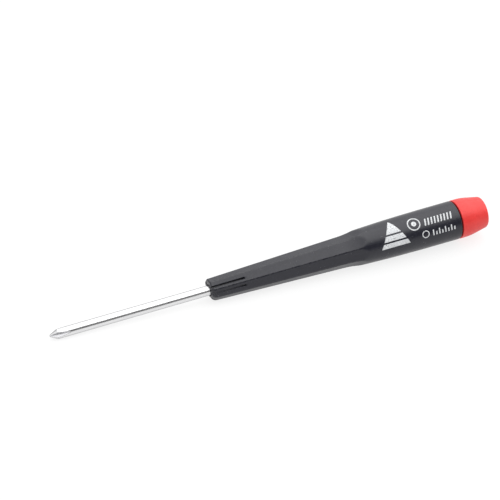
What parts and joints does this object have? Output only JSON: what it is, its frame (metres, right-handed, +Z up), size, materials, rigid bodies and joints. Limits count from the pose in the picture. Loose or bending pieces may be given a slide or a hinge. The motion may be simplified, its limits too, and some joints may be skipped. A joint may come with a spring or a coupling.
{
  "type": "precision screwdriver",
  "caption": "Small screwdriver with a round steel blade, a three-wing point, a tapered octagonal plastic grip and an end cap that spins freely under a fingertip.",
  "frame": {"origin": "middle of the bottom of the tool's bounding box, on the surface that it lies on", "axes": "+X along the tool from the point to the cap, apart from the 2.4 degrees by which the tool's axis climbs as it lies; +Z up"},
  "size_m": [0.1406, 0.012, 0.0129],
  "materials": {
    "bright_steel": "ground and bright nickel plated",
    "pin_steel": "plain turned steel",
    "black_plastic": "fine matte anti-static moulding",
    "red_plastic": "fine matte moulding",
    "white_print": "pad-printed ink, slightly worn"
  },
  "bodies": {
    "driver": {"blade": "bright_steel", "handle": "black_plastic", "pivot_pin": "pin_steel"},
    "cap": {"cap": "red_plastic"}
  },
  "joints": [
    {"name": "cap_spin", "type": "hinge", "parent": "driver", "child": "cap", "pos_m": [0.06072, 0, 0.00682], "axis": [0.9991, 0, 0.0412], "continuous": true}
  ]
}
